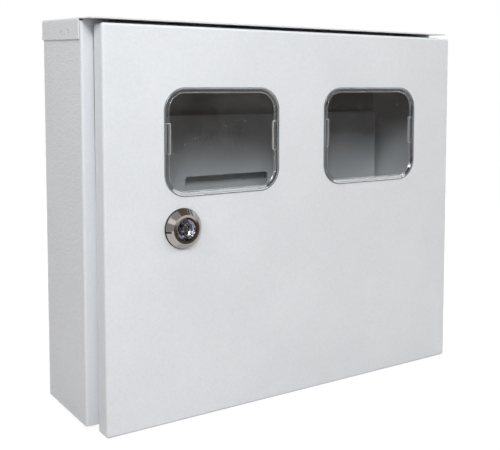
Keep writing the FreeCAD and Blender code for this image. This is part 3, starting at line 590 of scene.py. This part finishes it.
def paper_white(stage):
    """Seamless white studio paper: near white to the eye, and it keeps the object's soft shadow."""
    material, tree = new_material("studio_paper_white")
    share = add(tree, "ShaderNodeMath", {0: seen_directly(tree), 1: stage.paper_glow},
                operation="MULTIPLY")
    paper = add(tree, "ShaderNodeBsdfDiffuse", Color=linear("BEBABA"))
    glow = add(tree, "ShaderNodeEmission", Strength=1.25)
    mix = add(tree, "ShaderNodeMixShader",
              {0: share.outputs[0], 1: paper.outputs[0], 2: glow.outputs[0]})
    add(tree, "ShaderNodeOutputMaterial", {"Surface": mix.outputs[0]})
    return material


def mirror_card(name, code, strength, centre, across, up):
    """Evenly lit studio card or flag that only mirror-like surfaces see."""
    material, tree = new_material(name)
    face = add(tree, "ShaderNodeEmission", Color=linear(code), Strength=strength)
    add(tree, "ShaderNodeOutputMaterial", {"Surface": face.outputs[0]})
    card = place_object(name, [flat_grid(centre, across, up)], material)
    card.visible_camera = False
    card.visible_diffuse = False
    card.visible_transmission = False
    card.visible_shadow = False


def studio_world(stage):
    """White to the eye, in mirrors and through glass, and a dim brown room to what it lights."""
    world = bpy.data.worlds.new("studio_air")
    bpy.context.scene.world = world
    world.use_nodes = True
    tree = world.node_tree
    tree.nodes.clear()
    tone = add(tree, "ShaderNodeMix", {"Factor": seen_directly(tree), "A": (*stage.room, 1.0),
                                       "B": (1, 1, 1, 1)}, data_type="RGBA")
    air = add(tree, "ShaderNodeBackground", {"Color": tone.outputs["Result"]})
    add(tree, "ShaderNodeOutputWorld", {"Surface": air.outputs[0]})


def soft_lamp(name, power, place, target, along, size, shines):
    """Soft box aimed at a point, its width laid along a direction and unseen by the camera."""
    data = bpy.data.lights.new(name, "AREA")
    data.shape = "RECTANGLE"
    data.size, data.size_y = size
    data.energy = power
    lamp = bpy.data.objects.new(name, data)
    bpy.context.scene.collection.objects.link(lamp)
    back = (Vector(place) - Vector(target)).normalized()
    up = back.cross(Vector(along)).normalized()
    lamp.location = place
    lamp.visible_camera = False
    lamp.visible_glossy = shines
    lamp.rotation_euler = Matrix((up.cross(back), up, back)).transposed().to_euler()


def photo_camera(stage):
    """Camera at the photograph's viewing angle, level but for a slight tilt down."""
    data = bpy.data.cameras.new("photo_camera")
    camera = bpy.data.objects.new("photo_camera", data)
    bpy.context.scene.collection.objects.link(camera)
    data.lens = stage.lens
    data.shift_y = CAMERA_SHIFT
    data.clip_start = 0.01
    data.clip_end = 50
    camera.location = CAMERA_PLACE
    camera.rotation_euler = (math.radians(90) - CAMERA_PITCH, 0, -CAMERA_YAW)
    return camera


def colour_setting(name, description, code):
    """Colour property whose default is given as an sRGB hex code."""
    return FloatVectorProperty(name=name, description=description, subtype="COLOR", size=3,
                               min=0, max=1, default=linear(code)[:3])


def length_setting(name, description, default):
    """Length property in metres."""
    return FloatProperty(name=name, description=description, unit="LENGTH", default=default)


def power_setting(name, description, default):
    """Lamp power property in watts."""
    return FloatProperty(name=name, description=description, unit="POWER", default=default)


class PaintSettings(bpy.types.PropertyGroup):
    shade: colour_setting("Shade", "Darker tone of the paint", "DDE2E6")
    tint: colour_setting("Tint", "Lighter tone of the paint", "E4E9ED")
    # Painted shade: the darker tone laid on high up inside the box.
    inside: colour_setting("Inside", "Tone of the thin coat inside the box", "8A8D90")
    drift_size: length_setting("Drift", "Width of the broad drift of tone", 60 * MM)
    peel_size: length_setting("Peel", "Width of the orange peel", 1.6 * MM)
    peel_depth: length_setting("Peel depth", "Depth of the orange peel", 0.25 * MM)
    weld_depth: length_setting("Weld depth", "Depth of the spot-weld dimples", 0.4 * MM)


class WindowSettings(bpy.types.PropertyGroup):
    pane: colour_setting("Pane", "Tint of the clear pane", "F4F6F7")
    # Painted shade: the bevel's darker tint and the grey tone of the outer edge.
    bevel: colour_setting("Bevel", "Tint of the bevel round the pane", "C4C8CC")
    edge: colour_setting("Edge", "Tone of the dull outer edge", "7F8388")
    haze_size: length_setting("Haze", "Width of the patches of haze", 9 * MM)
    dust_size: length_setting("Dust", "Width of the patches of dust", 28 * MM)
    speck_spacing: length_setting("Specks", "Spacing of the cells that may hold a speck", 9 * MM)


class LockSettings(bpy.types.PropertyGroup):
    chrome: colour_setting("Chrome", "Tone of the chrome", "A6A19D")
    # Painted shade: darker tone of the ring round the key recess.
    recess: colour_setting("Recess", "Tone of the ring round the key recess", "8A8A91")
    enamel: colour_setting("Enamel", "Tone of the index mark", "0B0B0C")
    wave_size: length_setting("Waves", "Width of the waves in the polish", 3 * MM)
    dent_size: length_setting("Dents", "Width of the dents round the key recess", 2.4 * MM)
    dent_depth: length_setting("Dent depth", "Depth of the dents", 1.6 * MM)


class FittingSettings(bpy.types.PropertyGroup):
    shade: colour_setting("Shade", "Bluish tone of the plating", "A9ADB2")
    tint: colour_setting("Tint", "Pale tone of the plating", "D3D2C8")
    cloud_size: length_setting("Clouds", "Width of the clouds in the plating", 4 * MM)


class SealSettings(bpy.types.PropertyGroup):
    rubber: colour_setting("Rubber", "Tone of the rubber", "17171A")
    bloom: colour_setting("Bloom", "Tone of the bloom on the rubber", "2E2E30")
    bloom_size: length_setting("Bloom size", "Width of the patches of bloom", 2.5 * MM)
    # Painted shade: the cells' middles are darker than their walls.
    foam: colour_setting("Foam", "Tone in the middle of the foam's cells", "1F2022")
    cell_wall: colour_setting("Cell wall", "Tone between the foam's cells", "3D3E40")
    cell_size: length_setting("Cells", "Width of the foam's cells", 0.8 * MM)


class StageSettings(bpy.types.PropertyGroup):
    paper_glow: FloatProperty(name="Paper glow", description="How far the paper is lit to white",
                              subtype="FACTOR", min=0, max=1, default=0.75)
    room: colour_setting("Room", "Dim colour of the room round the stage", "5F5650")
    key_power: power_setting("Key lamp", "Power of the lamp at the upper left", 6.0)
    side_power: power_setting("Side strip", "Power of the upright strip lamp at the left", 3.6)
    strip_power: power_setting("Top strip", "Power of the strip lamp at the upper right", 25.2)
    fill_power: power_setting("Fill lamp", "Power of the weak lamp at the front", 0.5)
    back_power: power_setting("Back lamp", "Power of the soft lamp behind the box", 22.0)
    lens: FloatProperty(name="Lens", description="Focal length", subtype="DISTANCE_CAMERA",
                        default=58.22)


class METERBOX_OT_painted_sheet(bpy.types.Operator):
    """Powder coat on the case, the door and the folded pieces"""
    bl_idname = "meterbox.painted_sheet"
    bl_label = "Painted sheet"

    def execute(self, context):
        dress(PAINTED, powder_coat(context.scene.meterbox_paint))
        return {"FINISHED"}


class METERBOX_OT_windows(bpy.types.Operator):
    """Clear moulded windows of the door"""
    bl_idname = "meterbox.windows"
    bl_label = "Windows"

    def execute(self, context):
        for name in CLEAR:
            dress([name], clear_polycarbonate(name, context.scene.meterbox_windows))
        return {"FINISHED"}


class METERBOX_OT_lock(bpy.types.Operator):
    """Chrome of the lock"""
    bl_idname = "meterbox.lock"
    bl_label = "Lock"

    def execute(self, context):
        dress(CHROMED, chrome_plate(context.scene.meterbox_lock))
        return {"FINISHED"}


class METERBOX_OT_fittings(bpy.types.Operator):
    """Plated nuts, pins and rail, with threads on the studs and screws"""
    bl_idname = "meterbox.fittings"
    bl_label = "Plated fittings"

    def execute(self, context):
        plating = zinc_plate(context.scene.meterbox_fittings)
        dress(PLATED, plating)
        low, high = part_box("plate_studs")
        half = STUD_WIDTH / 2
        rods = []
        for x in (low.x + half, high.x - half):
            for z in (low.z + half, high.z - half):
                rods.append(threaded_rod(x, z, high.y, low.y, STUD_WIDTH, STUD_PITCH))
        piece = place_object("plate_stud_threads", rods, plating)
        stand_for(piece, "plate_studs", "case")
        for node, body in (("earth_stud", "case"), ("door_earth_stud", "door")):
            low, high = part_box(node)
            middle = (low + high) / 2
            root, tip = (high.y, low.y) if body == "case" else (low.y, high.y)
            rod = threaded_rod(middle.x, middle.z, root, tip, STUD_WIDTH, STUD_PITCH)
            stand_for(place_object(node + "_thread", [rod], plating), node, body)
        low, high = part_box("din_rail_screws")
        half = HEAD_WIDTH / 2
        z = (low.z + high.z) / 2
        seat = low.y + HEAD_HEIGHT
        screws = []
        for x in (low.x + half, high.x - half):
            screws.append(cross_head(x, z, low.y, seat, HEAD_WIDTH))
            screws.append(threaded_rod(x, z, seat - HEAD_LAP, high.y, SCREW_WIDTH, SCREW_PITCH))
        piece = place_object("rail_screw_heads", screws, plating)
        stand_for(piece, "din_rail_screws", "case")
        return {"FINISHED"}


class METERBOX_OT_seals(bpy.types.Operator):
    """Rubber grommets and the poured foam bead of the door"""
    bl_idname = "meterbox.seals"
    bl_label = "Seals"

    def execute(self, context):
        seals = context.scene.meterbox_seals
        dress(RUBBER, black_rubber(seals))
        bead = foam_bead(*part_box("door_gasket"), BEAD_WIDTH, BEAD_CORNER)
        piece = place_object("door_foam_bead", [bead], cell_foam(seals))
        stand_for(piece, "door_gasket", "door")
        return {"FINISHED"}


class METERBOX_OT_stage(bpy.types.Operator):
    """Floor, mirror cards, soft lamps and camera"""
    bl_idname = "meterbox.stage"
    bl_label = "Stage"

    def execute(self, context):
        stage = context.scene.meterbox_stage
        context.scene.view_settings.view_transform = "Standard"
        studio_world(stage)
        sheet = flat_grid((0, 0, CAD_BOX[0].z - FLOOR_GAP), (FLOOR_WIDTH, 0, 0),
                          (0, FLOOR_WIDTH, 0))
        floor = place_object("studio_floor", [sheet], paper_white(stage))
        for card in MIRROR_CARDS:
            mirror_card(*card)
        for name, power, *placing in LAMPS:
            soft_lamp(name, getattr(stage, power), *placing)
        context.scene.camera = photo_camera(stage)
        return {"FINISHED"}


class METERBOX_PT_panel(bpy.types.Panel):
    bl_idname = "METERBOX_PT_panel"
    bl_label = "Meter Box"
    bl_space_type = "VIEW_3D"
    bl_region_type = "UI"
    bl_category = "Meter Box"

    def draw(self, context):
        for operator in OPERATORS:
            self.layout.operator(operator.bl_idname)
        for name, group in GROUPS.items():
            box = self.layout.box()
            for key in group.__annotations__:
                box.prop(getattr(context.scene, name), key)


OPERATORS = (METERBOX_OT_painted_sheet, METERBOX_OT_windows, METERBOX_OT_lock,
             METERBOX_OT_fittings, METERBOX_OT_seals, METERBOX_OT_stage)
GROUPS = {"meterbox_paint": PaintSettings, "meterbox_windows": WindowSettings,
          "meterbox_lock": LockSettings, "meterbox_fittings": FittingSettings,
          "meterbox_seals": SealSettings, "meterbox_stage": StageSettings}


def register():
    for name, group in GROUPS.items():
        bpy.utils.register_class(group)
        setattr(bpy.types.Scene, name, PointerProperty(type=group))
    for operator in OPERATORS:
        bpy.utils.register_class(operator)
    bpy.utils.register_class(METERBOX_PT_panel)


def unregister():
    bpy.utils.unregister_class(METERBOX_PT_panel)
    for operator in reversed(OPERATORS):
        bpy.utils.unregister_class(operator)
    for name, group in reversed(list(GROUPS.items())):
        delattr(bpy.types.Scene, name)
        bpy.utils.unregister_class(group)


def main():
    register()
    bpy.ops.meterbox.painted_sheet()
    bpy.ops.meterbox.windows()
    bpy.ops.meterbox.lock()
    bpy.ops.meterbox.fittings()
    bpy.ops.meterbox.seals()
    bpy.ops.meterbox.stage()


if __name__ == "__main__":
    main()
